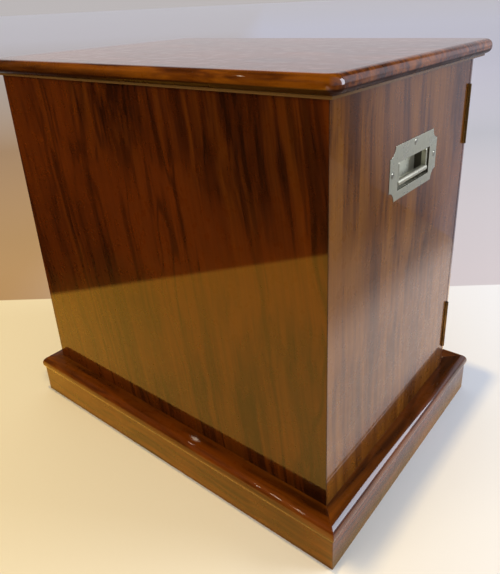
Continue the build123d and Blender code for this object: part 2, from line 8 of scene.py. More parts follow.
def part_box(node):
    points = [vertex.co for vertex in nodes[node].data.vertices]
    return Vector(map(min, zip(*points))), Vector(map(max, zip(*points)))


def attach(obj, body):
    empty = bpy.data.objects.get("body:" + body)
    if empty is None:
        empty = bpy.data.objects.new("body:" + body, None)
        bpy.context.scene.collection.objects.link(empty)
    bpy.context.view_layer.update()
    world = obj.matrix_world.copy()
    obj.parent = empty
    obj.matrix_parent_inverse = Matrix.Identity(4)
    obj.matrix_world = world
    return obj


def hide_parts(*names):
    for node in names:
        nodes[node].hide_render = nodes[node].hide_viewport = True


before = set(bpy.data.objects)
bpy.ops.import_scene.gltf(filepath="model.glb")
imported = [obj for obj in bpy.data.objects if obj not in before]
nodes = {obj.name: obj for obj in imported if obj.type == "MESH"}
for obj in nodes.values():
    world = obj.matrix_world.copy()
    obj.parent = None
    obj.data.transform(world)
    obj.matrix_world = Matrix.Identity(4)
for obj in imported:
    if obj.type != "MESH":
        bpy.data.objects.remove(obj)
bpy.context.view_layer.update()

# The looks of a French-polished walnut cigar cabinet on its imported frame.
# Metres, in the frame's own axes: X to the right seen from the front, Y to the back, Z up.

MM = 0.001

# Camera, fitted to the photograph's edges: place, turn, tilt and roll, the lens in pixels, the sensor in mm
IMAGE_WIDTH = 500
IMAGE_HEIGHT = 574
CAMERA_PLACE = Vector((-0.3405, 0.3904, 0.4011))
CAMERA_TURN = math.radians(219.703)
CAMERA_TILT = math.radians(23.463)
CAMERA_ROLL = math.radians(-2.775)
CAMERA_FOCAL_PIXELS = 557.61
CAMERA_CENTRE_PIXELS = (255.28, 244.68)
SENSOR = 36.0

# The line where the pale floor ends: its turn, its distance from the origin, and the lit strip's two ends
PAPER_TURN = math.radians(-52.3)
PAPER_TO_WALL = 0.226
PAPER_LEFT = 0.454
PAPER_RIGHT = -0.428

# Painted reflections: the tones that the polish mirrors, by their places along that line from the image's
# right to its left
MIRROR_FROM = -1.2
MIRROR_TO = 0.6
MIRROR_WALL_RIGHT = (
    (-1.2, (0.020, 0.018, 0.020)),
    (-1.08, (0.06, 0.055, 0.07)),
    (-0.82, (0.62, 0.62, 0.73)),
    (-0.64, (0.40, 0.44, 0.56)),
    (PAPER_RIGHT, (0.60, 0.56, 0.62)),
)
MIRROR_OUTER_LEFT = ((PAPER_LEFT + 0.01, (0.006, 0.002, 0.0)), (MIRROR_TO, (0.004, 0.001, 0.0)))
MIRROR_FLOOR = ((-0.26, (0.97, 0.67, 0.32)), (-0.05, (1.0, 0.63, 0.15)), (PAPER_LEFT, (1.12, 0.64, 0.07)))
MIRROR_WALL = ((PAPER_RIGHT, (0.66, 0.63, 0.70)), (PAPER_LEFT, (0.64, 0.56, 0.50)))
MIRROR_FLOOR_SIDE = (0.84, 0.76, 0.74)
MIRROR_FAR_ROOM = (0.020, 0.018, 0.020)
MIRROR_WALL_TOP = 0.50
MIRROR_CEILING = (0.05, 0.03, 0.015)
MIRROR_HIGH_RIGHT = (0.86, 0.82, 0.95)
WALL_LIGHT = 0.85

# Where the mirrored wall's tones go over into others, by places along the line and by heights
LOW_RIGHT_PLACES = (-0.60, -0.68)
LOW_RIGHT_HEIGHTS = (0.18, -0.04)
LOW_RIGHT_SHARE = 0.75
HIGH_RIGHT_PLACES = (-0.50, -0.62)
HIGH_RIGHT_FROM = (0.23, 0.30)
HIGH_RIGHT_TO = (0.85, 0.75)
MIRROR_WALL_FADE = 0.10

# Where the mirrored floor's tones do: by X beside the left end, and along a slant across the floor
FLOOR_SIDE_X = (-0.185, -0.205)
FLOOR_SLANT = 0.65
FLOOR_SLANT_STEPS = ((-0.37, -0.47, 0.72), (-0.46, -0.62, 0.80))

# The floor point under the cabinet's left end that the mirrored tones are worked out from, toward the line
# and along it, with the height used for the floor beyond the line and the one for the room above it
CABINET_FOOT = (-0.14, -0.11)
CABINET_EYE = 0.26
CABINET_TOP = 0.36
LEAST_AWAY = 0.05
LEAST_FORWARD = 0.02
FORWARD_FADE = 0.03

# The floor beyond the line, from far away at 0 to close by at 1; at FAR_FADE past the line it is at a half.
# Its tones are painted light: lighter far off to make up for the lamps' fall-off, and warm on the lamp's side
FAR_FADE = 0.75
FAR_COOL_SIDE = (
    (0.0, (0.91, 0.88, 0.87)),
    (0.08, (0.89, 0.88, 0.94)),
    (0.23, (0.78, 0.78, 0.87)),
    (0.43, (0.50, 0.52, 0.575)),
    (0.63, (0.50, 0.49, 0.53)),
    (0.94, (0.54, 0.515, 0.555)),
)
FAR_WARM_SIDE = (
    (0.0, (0.91, 0.88, 0.87)),
    (0.08, (0.86, 0.82, 0.81)),
    (0.20, (0.62, 0.53, 0.44)),
    (0.43, (0.39, 0.26, 0.145)),
    (0.75, (0.37, 0.24, 0.11)),
    (1.0, (0.39, 0.245, 0.105)),
)

# The tone over the horizon where the camera sees past the floor, and half the floor's side
SKY = (0.50, 0.47, 0.47)
FLOOR_REACH = 150.0

# The floor up to the line, from the cool side to the lamp's side, and where each part of it turns warm: the
# warm turn is painted lamp light
NEAR_TURNS_WARM = (-0.40, 0.45)
FAR_TURNS_WARM = (-0.05, 0.42)
NEAR_FLOOR = ((0.0, (0.74, 0.77, 0.80)), (0.5, (0.74, 0.68, 0.52)), (1.0, (0.73, 0.64, 0.40)))

# The room's even light, and the window and the dark room that the polish sees away from the line, as painted
# reflections
ROOM_LIGHT = (0.60, 0.60, 0.65)
WINDOW_SIDE = (-0.9, -0.35, 0.1)
WINDOW_GLOW = (0.62, 0.60, 0.72)
DARK_ROOM = (0.022, 0.010, 0.002)


# Shader graphs

class Graph:
    """Builds the nodes of one material or world; methods that work out a value return its socket."""

    def __init__(self, name, world=False):
        self.holder = (bpy.data.worlds if world else bpy.data.materials).new(name)
        self.holder.use_nodes = True
        self.tree = self.holder.node_tree
        self.tree.nodes.clear()
        self.place = self.add("ShaderNodeTexCoord").outputs["Generated" if world else "Object"]

    def add(self, kind, **settings):
        node = self.tree.nodes.new(kind)
        for key, value in settings.items():
            setattr(node, key, value)
        return node

    def feed(self, socket, value):
        if isinstance(value, bpy.types.NodeSocket):
            self.tree.links.new(value, socket)
        else:
            socket.default_value = value

    def math(self, operation, a, b=0.0, clamp=False):
        node = self.add("ShaderNodeMath", operation=operation, use_clamp=clamp)
        self.feed(node.inputs[0], a)
        self.feed(node.inputs[1], b)
        return node.outputs[0]

    def vector(self, operation, a, b=(0.0, 0.0, 0.0)):
        node = self.add("ShaderNodeVectorMath", operation=operation)
        self.feed(node.inputs[0], a)
        self.feed(node.inputs[1], b)
        return node.outputs["Value" if operation == "DOT_PRODUCT" else "Vector"]

    def noise(self, place, scale, detail=4.0, roughness=0.55, distortion=0.0):
        node = self.add("ShaderNodeTexNoise")
        self.feed(node.inputs["Vector"], place)
        node.inputs["Scale"].default_value = scale
        node.inputs["Detail"].default_value = detail
        node.inputs["Roughness"].default_value = roughness
        node.inputs["Distortion"].default_value = distortion
        return node.outputs["Fac"]

    def spread(self, value, low, high, to_low=0.0, to_high=1.0):
        node = self.add("ShaderNodeMapRange", interpolation_type="SMOOTHSTEP")
        self.feed(node.inputs["Value"], value)
        node.inputs["From Min"].default_value = low
        node.inputs["From Max"].default_value = high
        node.inputs["To Min"].default_value = to_low
        node.inputs["To Max"].default_value = to_high
        return node.outputs["Result"]

    def ramp(self, value, *stops):
        node = self.add("ShaderNodeValToRGB")
        self.feed(node.inputs["Fac"], value)
        elements = node.color_ramp.elements
        while len(elements) < len(stops):
            elements.new(0.5)
        for element, (position, colour) in zip(elements, stops):
            element.position = position
            element.color = (*colour, 1.0)
        return node.outputs["Color"]

    def blend(self, share, a, b, mode="MIX"):
        node = self.add("ShaderNodeMix", data_type="RGBA", blend_type=mode)
        self.feed(node.inputs["Factor"], share)
        for socket, value in ((node.inputs[6], a), (node.inputs[7], b)):
            self.feed(socket, (*value, 1.0) if isinstance(value, tuple) else value)
        return node.outputs[2]

    def part(self, place, axis):
        node = self.add("ShaderNodeSeparateXYZ")
        self.feed(node.inputs["Vector"], place)
        return node.outputs[axis]

    def edge(self, width):
        """1 on an arris and 0 on a flat face, from the rounded normal."""
        soft = self.add("ShaderNodeBevel", samples=4)
        soft.inputs["Radius"].default_value = width
        true = self.add("ShaderNodeNewGeometry").outputs["Normal"]
        flat = self.vector("DOT_PRODUCT", soft.outputs["Normal"], true)
        return self.spread(flat, 0.995, 0.80)

    def bump(self, height, distance, strength=1.0):
        node = self.add("ShaderNodeBump")
        self.feed(node.inputs["Height"], height)
        node.inputs["Distance"].default_value = distance
        node.inputs["Strength"].default_value = strength
        return node.outputs["Normal"]

    def finish(self, **inputs):
        shader = self.add("ShaderNodeBsdfPrincipled")
        for key, value in inputs.items():
            self.feed(shader.inputs[key.replace("_", " ")], value)
        output = self.add("ShaderNodeOutputMaterial")
        self.tree.links.new(shader.outputs["BSDF"], output.inputs["Surface"])
        return self.holder


def dress(obj, material):
    """Gives an object one material through its material slots."""
    if not obj.material_slots:
        obj.data.materials.append(material)
    for each in obj.material_slots:
        each.material = material


# Woods

SEED_STEPS = (1.37, 0.71, 2.13)


def squeezed(graph, along, ratio, seed, lean=(0.0, 0.0, 0.0)):
    """Object coordinates moved to the board's own place, leant, and drawn out along the grain."""
    placed = graph.add("ShaderNodeMapping")
    graph.feed(placed.inputs["Vector"], graph.place)
    placed.inputs["Location"].default_value = [seed * step for step in SEED_STEPS]
    placed.inputs["Rotation"].default_value = lean
    scale = [1.0, 1.0, 1.0]
    scale["XYZ".index(along)] = 1.0 / ratio
    drawn = graph.add("ShaderNodeMapping")
    graph.feed(drawn.inputs["Vector"], placed.outputs["Vector"])
    drawn.inputs["Scale"].default_value = scale
    return drawn.outputs["Vector"]


def bent(graph, place, seed, amount):
    """The same coordinates bent sideways by slow noise, so the grain wanders."""
    slow = graph.noise(graph.vector("ADD", graph.place, (seed, seed * 0.3, 0.0)), 5.5, 2.0)
    shift = graph.math("MULTIPLY", graph.math("SUBTRACT", slow, 0.5), amount)
    both = graph.add("ShaderNodeCombineXYZ")
    for socket in both.inputs:
        graph.feed(socket, shift)
    return graph.vector("ADD", place, both.outputs["Vector"])


def polished_wood(
    name, along, seed, tones, lean=(0.0, 0.0, 0.0),
    veins=0.55, arris=None, moulding_shade_and_sheen=None, ripple=0.03, warm_light_side=None,
):
    """Walnut under French polish: bands, flame-like dark veins, fine streaks and fibres."""
    dark, middle, light, warm = tones
    graph = Graph(name)
    broad = graph.noise(bent(graph, squeezed(graph, along, 9.0, seed, lean), seed, 0.05), 30.0, 2.0, 0.5)
    flame = bent(graph, squeezed(graph, along, 20.0, seed + 1.0, lean), seed, 0.03)
    streaks = graph.noise(flame, 165.0, 3.0, 0.55, 0.1)
    hair = graph.noise(squeezed(graph, along, 60.0, seed + 3.0, lean), 600.0, 2.0, 0.5)
    pores = graph.noise(squeezed(graph, along, 30.0, seed + 7.0, lean), 2600.0, 2.0, 0.5)
    clouds = graph.noise(graph.vector("ADD", graph.place, (seed, 0.0, seed)), 6.0, 3.0, 0.5)

    tone = graph.math("ADD", graph.math("MULTIPLY", streaks, 0.5), graph.math("MULTIPLY", broad, 0.5))
    colour = graph.ramp(graph.spread(tone, 0.33, 0.67), (0.0, dark), (0.45, middle), (1.0, light))
    colour = graph.blend(graph.spread(clouds, 0.44, 0.66, 0.0, 0.8), colour, warm)
    # Painted warm light: toward +X the colour turns toward the warm tone.
    if warm_light_side:
        colour = graph.blend(graph.spread(graph.part(graph.place, "X"), *warm_light_side, 0.0, 0.6), colour, warm)
    colour = graph.blend(graph.spread(streaks, 0.32, 0.46, 0.40, 0.0), colour, dark)

    ridge = graph.math("ABSOLUTE", graph.math("SUBTRACT", graph.noise(flame, 34.0, 2.0, 0.45, 0.4), 0.5))
    strong = graph.spread(graph.noise(flame, 19.0, 2.0, 0.5), 0.40, 0.60, 0.0, veins)
    vein = graph.math("MULTIPLY", graph.spread(ridge, 0.045, 0.0), strong)
    colour = graph.blend(vein, colour, tuple(0.45 * each for each in dark))
    grey = graph.ramp(hair, (0.25, (0.28,) * 3), (0.75, (0.72,) * 3))
    colour = graph.blend(0.25, colour, grey, "OVERLAY")
    pore = graph.spread(pores, 0.60, 0.72, 0.0, 0.15)
    colour = graph.blend(pore, colour, tuple(0.5 * each for each in dark))
    colour = graph.blend(graph.math("MULTIPLY", graph.edge(0.9 * MM), 0.6), colour, arris or warm)

    coat = 1.0
    # Painted shade on the top board's moulding: faces sloping down are darkened and lose their coat. Its
    # lowest band gets a paler tone as a painted reflection.
    if moulding_shade_and_sheen:
        band_top, band_sheen_tone = moulding_shade_and_sheen
        band = graph.spread(graph.part(graph.place, "Z"), band_top, band_top - 0.2 * MM)
        slope = graph.part(graph.add("ShaderNodeNewGeometry").outputs["Normal"], "Z")
        under = graph.spread(slope, -0.18, -0.42)
        colour = graph.blend(under, colour, tuple(0.7 * each for each in dark))
        colour = graph.blend(graph.math("MULTIPLY", band, 0.85), colour, band_sheen_tone)
        coat = graph.math("SUBTRACT", 1.0, graph.math("MULTIPLY", under, 0.95))

    waves = graph.noise(graph.place, 14.0, 2.0, 0.4)
    grain = graph.math("SUBTRACT", hair, graph.math("MULTIPLY", pore, 1.5))
    wear = graph.noise(graph.place, 90.0, 4.0, 0.6)
    return graph.finish(
        Base_Color=colour,
        Roughness=graph.spread(wear, 0.35, 0.75, 0.26, 0.42),
        Specular_IOR_Level=0.05,
        Normal=graph.bump(grain, 0.004 * MM),
        Coat_Weight=coat,
        Coat_Roughness=0.035,
        Coat_IOR=1.5,
        Coat_Normal=graph.bump(waves, ripple * MM),
    )


def bare_wood(name, along, seed, dark, light, pore_depth=0.35, rings=34.0):
    """Planed wood without a finish: cedar linings and boxes, pine inside the plinth."""
    graph = Graph(name)
    figure = bent(graph, squeezed(graph, along, 11.0, seed), seed, 0.03)
    streaks = graph.noise(figure, rings, 4.0, 0.55, 0.5)
    fibres = graph.noise(squeezed(graph, along, 45.0, seed + 2.0), 1000.0, 3.0, 0.6)
    pores = graph.spread(graph.noise(squeezed(graph, along, 12.0, seed + 5.0), 1700.0), 0.60, 0.70)
    colour = graph.ramp(graph.spread(streaks, 0.32, 0.68), (0.0, dark), (1.0, light))
    colour = graph.blend(0.22, colour, graph.ramp(fibres, (0.3, (0.3,) * 3), (0.7, (0.7,) * 3)), "OVERLAY")
    colour = graph.blend(graph.math("MULTIPLY", pores, pore_depth), colour, dark, "MULTIPLY")
    height = graph.math("SUBTRACT", fibres, graph.math("MULTIPLY", pores, 0.8))
    return graph.finish(
        Base_Color=colour,
        Roughness=graph.spread(streaks, 0.3, 0.7, 0.62, 0.80),
        Specular_IOR_Level=0.3,
        Normal=graph.bump(height, 0.06 * MM),
    )


# Dark, middle, light and warm tones of each board, as linear colour
BACK_TONES = (
    (0.013, 0.0026, 0.0001),
    (0.041, 0.0072, 0.0001),
    (0.084, 0.0185, 0.0002),
    (0.094, 0.0160, 0.0001),
)
END_TONES = (
    (0.050, 0.0140, 0.0012),
    (0.108, 0.034, 0.0030),
    (0.176, 0.063, 0.0055),
    (0.160, 0.049, 0.0030),
)
TOP_TONES = (
    (0.026, 0.0055, 0.0002),
    (0.085, 0.0195, 0.0003),
    (0.195, 0.055, 0.0006),
    (0.180, 0.042, 0.0004),
)
PLINTH_TONES = (
    (0.028, 0.0060, 0.0005),
    (0.080, 0.0180, 0.0008),
    (0.150, 0.038, 0.0020),
    (0.130, 0.026, 0.0008),
)
DOOR_TONES = (
    (0.028, 0.0065, 0.0008),
    (0.080, 0.0190, 0.0016),
    (0.150, 0.042, 0.0036),
    (0.125, 0.028, 0.0016),
)
DRAWER_TONES = (
    (0.050, 0.015, 0.0030),
    (0.130, 0.043, 0.0080),
    (0.220, 0.082, 0.0160),
    (0.180, 0.056, 0.0090),
)
DARK_ARRIS = (0.012, 0.004, 0.0015)
# Painted reflection: a paler tone on the lowest TOP_BAND of the top board's moulding
BAND_SHEEN_TONE = (0.13, 0.070, 0.020)
TOP_BAND = 2.0 * MM


def dress_woods():
    """Each board gets its own cut of wood, with the grain along its length."""
    polished = (
        ("back_board", "Z", 1.0, BACK_TONES, (0.0, -0.11, 0.0)),
        ("end_board_left", "Z", 2.3, END_TONES, (0.02, 0.0, 0.0)),
        ("end_board_right", "Z", 3.1, END_TONES, (-0.02, 0.0, 0.0)),
        ("top_board", "X", 4.2, TOP_TONES, (0.0, 0.0, 0.0)),
        ("plinth_back", "X", 5.4, PLINTH_TONES, (0.0, 0.03, 0.0)),
        ("plinth_front", "X", 6.1, PLINTH_TONES, (0.0, 0.03, 0.0)),
        ("plinth_left", "Y", 7.7, PLINTH_TONES, (0.03, 0.0, 0.0)),
        ("plinth_right", "Y", 8.2, PLINTH_TONES, (0.03, 0.0, 0.0)),
        ("door_hinge_stile", "Z", 9.5, DOOR_TONES, (0.0, 0.02, 0.0)),
        ("door_lock_stile", "Z", 10.3, DOOR_TONES, (0.0, -0.02, 0.0)),
        ("door_top_rail", "X", 11.6, DOOR_TONES, (0.0, 0.02, 0.0)),
        ("door_bottom_rail", "X", 12.2, DOOR_TONES, (0.0, 0.02, 0.0)),
        ("door_panel", "Z", 13.8, DOOR_TONES, (0.0, 0.08, 0.0)),
        ("door_panel_beads", "X", 14.4, DOOR_TONES, (0.0, 0.0, 0.0)),
    )
    dark_edged = ("back_board", "end_board_left", "end_board_right")
    band_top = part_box("top_board")[0].z + TOP_BAND
    for name, along, seed, tones, lean in polished:
        arris = DARK_ARRIS if name in dark_edged else None
        top = name == "top_board"
        moulding_shade_and_sheen = (band_top, BAND_SHEEN_TONE) if top else None
        ripple = 0.006 if top else 0.03
        # The back board is painted warmer toward +X as warm light.
        warm_light_side = (0.02, 0.17) if name == "back_board" else None
        veins = 0.35 if name.startswith("end_board") else 0.55
        look = (veins, arris, moulding_shade_and_sheen, ripple, warm_light_side)
        dress(nodes[name], polished_wood("polish_" + name, along, seed, tones, lean, *look))
    for number in range(1, 5):
        front = "drawer_%d_front" % number
        dress(nodes[front], polished_wood("polish_" + front, "X", 15.0 + number * 1.9, DRAWER_TONES))

    cedar = ((0.30, 0.115, 0.045), (0.50, 0.235, 0.105))
    bare = [
        ("lining_left", "Z", 30.0),
        ("lining_right", "Z", 31.3),
        ("lining_back", "Z", 32.9),
        ("lining_bottom", "X", 33.5),
        ("lining_top", "X", 34.1),
        ("drawer_runners", "Y", 35.7),
    ]
    for number in range(1, 5):
        bare.append(("drawer_%d_sides" % number, "Y", 36.0 + number * 1.3))
        bare.append(("drawer_%d_back" % number, "X", 42.0 + number * 1.7))
        bare.append(("drawer_%d_bottom" % number, "X", 50.0 + number * 2.1))
    for name, along, seed in bare:
        dress(nodes[name], bare_wood("cedar_" + name, along, seed, *cedar))
    pine = ((0.42, 0.25, 0.105), (0.62, 0.43, 0.22))
    for name, seed in (("base_board", 60.0), ("plinth_glue_blocks", 61.5)):
        dress(nodes[name], bare_wood("pine_" + name, "X", seed, *pine, 0.2, 22.0))


# Metals and clay

RUB_DEPTH = 0.012 * MM


def worn_metal(name, colour, dull, along, roughness, metallic=1.0, depth=1.0, sides=None):
    """Metal with rubbing, clouded tarnish, pits and brighter arrises; a tone given for faces turned from X is
    painted shade on them.
    """
    graph = Graph(name)
    clouds = graph.noise(graph.place, 60.0, 5.0, 0.6)
    spots = graph.spread(graph.noise(graph.place, 420.0, 3.0, 0.6), 0.62, 0.74)
    rubs = graph.noise(squeezed(graph, along, 30.0, 1.0), 2600.0, 3.0, 0.6)
    tint = graph.blend(graph.spread(clouds, 0.38, 0.68, 0.0, 0.75), colour, dull)
    tint = graph.blend(graph.math("MULTIPLY", spots, 0.45), tint, tuple(0.4 * each for each in dull))
    bright = tuple(min(1.0, 1.25 * each) for each in colour)
    tint = graph.blend(graph.math("MULTIPLY", graph.edge(0.35 * MM), 0.6), tint, bright)
    # Painted shade: faces turned from X, the pans' walls and the plates' edges, take the darker tone.
    if sides:
        facing = graph.part(graph.add("ShaderNodeNewGeometry").outputs["Normal"], "X")
        upright_shade = graph.spread(graph.math("ABSOLUTE", facing), 0.7, 0.4, 0.0, 0.92)
        tint = graph.blend(upright_shade, tint, sides)
    clouded = graph.spread(clouds, 0.3, 0.7, roughness - 0.06, roughness + 0.12)
    rough = graph.math("ADD", clouded, graph.math("MULTIPLY", spots, 0.15))
    height = graph.math("SUBTRACT", rubs, graph.math("MULTIPLY", spots, 1.2))
    return graph.finish(
        Base_Color=tint,
        Metallic=metallic,
        Roughness=rough,
        Normal=graph.bump(height, RUB_DEPTH * depth),
    )


def fired_clay(name):
    """The moistener's porous block."""
    graph = Graph(name)
    grains = graph.noise(graph.place, 900.0, 4.0, 0.7)
    clouds = graph.noise(graph.place, 45.0, 4.0, 0.6)
    colour = graph.ramp(graph.spread(clouds, 0.3, 0.7), (0.0, (0.46, 0.31, 0.21)), (1.0, (0.68, 0.52, 0.38)))
    colour = graph.blend(graph.spread(grains, 0.55, 0.7, 0.0, 0.5), colour, (0.24, 0.16, 0.11))
    return graph.finish(Base_Color=colour, Roughness=0.92, Normal=graph.bump(grains, 0.15 * MM))


def dress_metals():
    """Pale brass on the handles, yellower and bronzed brass elsewhere, steel in the lock, tin inside."""
    handle = ((0.52, 0.51, 0.385), (0.42, 0.41, 0.30), "Y", 0.30, 0.75)
    pale = worn_metal("pale_brass", *handle)
    # Painted shade on the plates' edges and the pans' walls. The pan's brass is a paler, less metallic copy
    # of the handle brass: painted light on the pan's floor.
    plate = worn_metal("plate_brass", *handle, sides=(0.050, 0.042, 0.022))
    pan_shade = (0.040, 0.032, 0.016)
    painted_lit_pan = worn_metal("pan_brass", (0.78, 0.77, 0.60), (0.66, 0.65, 0.50), "Y", 0.28, 0.3, 0.5, pan_shade)
    yellow = worn_metal("aged_brass", (0.66, 0.46, 0.18), (0.36, 0.23, 0.08), "Z", 0.30)
    bronzed = worn_metal("bronzed_brass", (0.22, 0.125, 0.035), (0.09, 0.048, 0.013), "Z", 0.32)
    steel = worn_metal("lock_steel", (0.50, 0.49, 0.47), (0.30, 0.29, 0.28), "X", 0.34)
    tin = worn_metal("tinned_sheet", (0.66, 0.66, 0.64), (0.50, 0.50, 0.49), "X", 0.38)
    clay = fired_clay("fired_clay")
    groups = (
        (plate, ("left_handle_plate", "right_handle_plate")),
        (pale, ("left_bail", "right_bail")),
        (painted_lit_pan, ("left_handle_pan", "right_handle_pan")),
        (yellow, ("escutcheon", "link_plate", "lock_bolt")),
        (bronzed, ("hinge_cabinet_leaves", "hinge_door_leaves")),
        (steel, ("lock_case", "lock_cover", "key")),
        (tin, ("moistener_case", "moistener_cover")),
        (clay, ("moistener_block",)),
    )
    for material, names in groups:
        for name in names:
            dress(nodes[name], material)
    bright = worn_metal("rubbed_brass", (0.74, 0.72, 0.55), (0.52, 0.50, 0.37), "Y", 0.22)
    # A near-black metal for the discs under the screw heads: painted shade
    slot_shade = worn_metal("painted_slot_shade", (0.050, 0.042, 0.028), (0.024, 0.019, 0.012), "Y", 0.60, 0.0)
    return {"yellow": yellow, "bronzed": bronzed, "steel": steel, "bright": bright, "slot_shade": slot_shade}


# Eased arrises on the frame's boards and plates

def ease(names, width, segments=2):
    """A small round on every sharp arris, by modifiers only."""
    for name in names:
        obj = nodes[name]
        weld = obj.modifiers.new("weld", "WELD")
        weld.merge_threshold = 1e-6
        bevel = obj.modifiers.new("ease", "BEVEL")
        bevel.width = width
        bevel.segments = segments
        bevel.limit_method = "ANGLE"
        bevel.angle_limit = math.radians(32)
        bevel.use_clamp_overlap = True
        normals = obj.modifiers.new("normals", "WEIGHTED_NORMAL")
        normals.keep_sharp = False


def ease_all():
    """Boards, handle plates and bails each get a round of their own width."""
    boards = [
        "back_board", "end_board_left", "end_board_right",
        "plinth_front", "plinth_back", "plinth_left", "plinth_right",
        "door_top_rail", "door_bottom_rail", "door_panel",
    ]
    ease(boards, 0.45 * MM)
    ease(["left_handle_plate", "right_handle_plate"], 0.2 * MM)
    ease(["left_bail", "right_bail"], 0.25 * MM)


# Screws and knobs

def mesh_object(name, mesh, material, body):
    obj = bpy.data.objects.new(name, mesh)
    bpy.context.scene.collection.objects.link(obj)
    obj.data.materials.append(material)
    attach(obj, body)
    return obj


def ring(bm, radius, height, count):
    angles = [2 * math.pi * k / count for k in range(count)]
    return [bm.verts.new((radius * math.cos(a), radius * math.sin(a), height)) for a in angles]


def bridge(bm, low, high):
    count = len(low)
    for k in range(count):
        bm.faces.new((low[k], low[(k + 1) % count], high[(k + 1) % count], high[k]))


def spun(name, profile, count, place):
    """A closed turned form about Z from (radius, height) points, set at a place."""
    bm = bmesh.new()
    rings = [ring(bm, radius, height, count) for radius, height in profile]
    for low, high in zip(rings, rings[1:]):
        bridge(bm, low, high)
    bm.faces.new(list(reversed(rings[0])))
    bm.faces.new(rings[-1])
    bm.transform(place)
    bmesh.ops.recalc_face_normals(bm, faces=bm.faces)
    mesh = bpy.data.meshes.new(name)
    bm.to_mesh(mesh)
    bm.free()
    return mesh


def facing(origin, outward, turn=0.0):
    """A place whose Z looks outward, turned about that axis."""
    look = Vector(outward).to_track_quat("Z", "Y").to_matrix().to_4x4()
    return Matrix.Translation(origin) @ look @ Matrix.Rotation(turn, 4, "Z")


# Screws: the radii of their heads, and what all heads share
HANDLE_SCREW = 2.1 * MM
HINGE_SCREW = 2.0 * MM
LINK_SCREW = 1.8 * MM
MOISTENER_SCREW = 2.0 * MM
HEAD_STEPS = 9
HEAD_PROUD = 0.24 * MM
HALF_SLOT = 0.3 * MM
HEAD_ROUNDING = 0.15 * MM
HEAD_EDGE = 0.08 * MM
# A dark disc under each head: painted shade in the slot and round the head
SHADE_DISC_STEPS = 24
SHADE_DISC_HEIGHT = 0.03 * MM
SHADE_DISC_WIDTH = 0.22 * MM


def screw_head(bm, place, radius):
    """Two halves of a flat head with eased edges and an open slot between them."""
    start = math.asin(HALF_SLOT / radius)
    inner = radius - HEAD_ROUNDING
    for side in (-1, 1):
        arc = [start + (math.pi - 2 * start) * k / HEAD_STEPS for k in range(HEAD_STEPS + 1)]
        foot = [(radius * math.cos(a), side * radius * math.sin(a), 0.0) for a in arc]
        edge = [(x, y, HEAD_PROUD - HEAD_EDGE) for x, y, z in foot]
        top = [(inner * math.cos(a), side * max(inner * math.sin(a), HALF_SLOT), HEAD_PROUD) for a in arc]
        foot, edge, top = ([bm.verts.new(place @ Vector(each)) for each in row] for row in (foot, edge, top))
        for k in range(HEAD_STEPS):
            bm.faces.new((foot[k], foot[k + 1], edge[k + 1], edge[k]))
            bm.faces.new((edge[k], edge[k + 1], top[k + 1], top[k]))
        bm.faces.new(top)
        bm.faces.new((foot[0], edge[0], top[0], top[-1], edge[-1], foot[-1]))
        bm.faces.new(foot)


def screw_slot_shade(bm, place, radius):
    """A dark disc under the head: painted shade seen in the slot and as a hair line about the head."""
    outer = radius + SHADE_DISC_WIDTH
    disc = ring(bm, outer, SHADE_DISC_HEIGHT, SHADE_DISC_STEPS)
    foot = ring(bm, outer, 0.0, SHADE_DISC_STEPS)
    bridge(bm, foot, disc)
    bm.faces.new(disc)
    bm.faces.new(list(reversed(foot)))
    for vert in disc + foot:
        vert.co = place @ vert.co


def screws(name, places, radius, metal, slot_shade, body):
    """One object with all the heads at these places and one with the painted shade under and about them."""
    heads = bmesh.new()
    shade_disc = bmesh.new()
    for place in places:
        screw_head(heads, place, radius)
        screw_slot_shade(shade_disc, place, radius)
    for bm, piece, material in ((heads, name, metal), (shade_disc, name + "_painted_shade", slot_shade)):
        bmesh.ops.recalc_face_normals(bm, faces=bm.faces)
        mesh = bpy.data.meshes.new(piece)
        bm.to_mesh(mesh)
        bm.free()
        mesh_object(piece, mesh, material, body)


def add_handle_screws(metals):
    """Three slotted screws in each flush plate: one above the opening and one at each end."""
    reach = 36.5 * MM
    rise = 17.0 * MM
    for side, name in ((-1, "left"), (1, "right")):
        low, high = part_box(name + "_handle_plate")
        face = low.x if side < 0 else high.x
        middle = (low + high) / 2
        spots = ((0.0, rise, 0.5), (-reach, 0.0, 1.5), (reach, 0.0, 1.1))
        places = [facing((face, middle.y + y, middle.z + z), (side, 0, 0), turn) for y, z, turn in spots]
        bright, slot_shade = metals["bright"], metals["slot_shade"]
        screws(name + "_handle_screws", places, HANDLE_SCREW, bright, slot_shade, "cabinet")


def add_hinge_screws(metals):
    """Three slotted screws in each leaf of both hinges, seen when the door is open."""
    spread = 17.0 * MM
    half = 25.4 * MM
    inset = 5.1 * MM
    behind_barrel = 1.6 * MM
    for node, body, side in (("hinge_cabinet_leaves", "cabinet", -1), ("hinge_door_leaves", "door", 1)):
        low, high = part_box(node)
        face = low.y + behind_barrel if side > 0 else high.y - behind_barrel
        places = []
        for centre in (low.z + half, high.z - half):
            for step in (-1, 0, 1):
                turn = 0.7 + 0.9 * step + 3.0 * centre
                places.append(facing((high.x - inset, face, centre + step * spread), (0, side, 0), turn))
        bronzed, slot_shade = metals["bronzed"], metals["slot_shade"]
        screws(body + "_hinge_screws", places, HINGE_SCREW, bronzed, slot_shade, body)


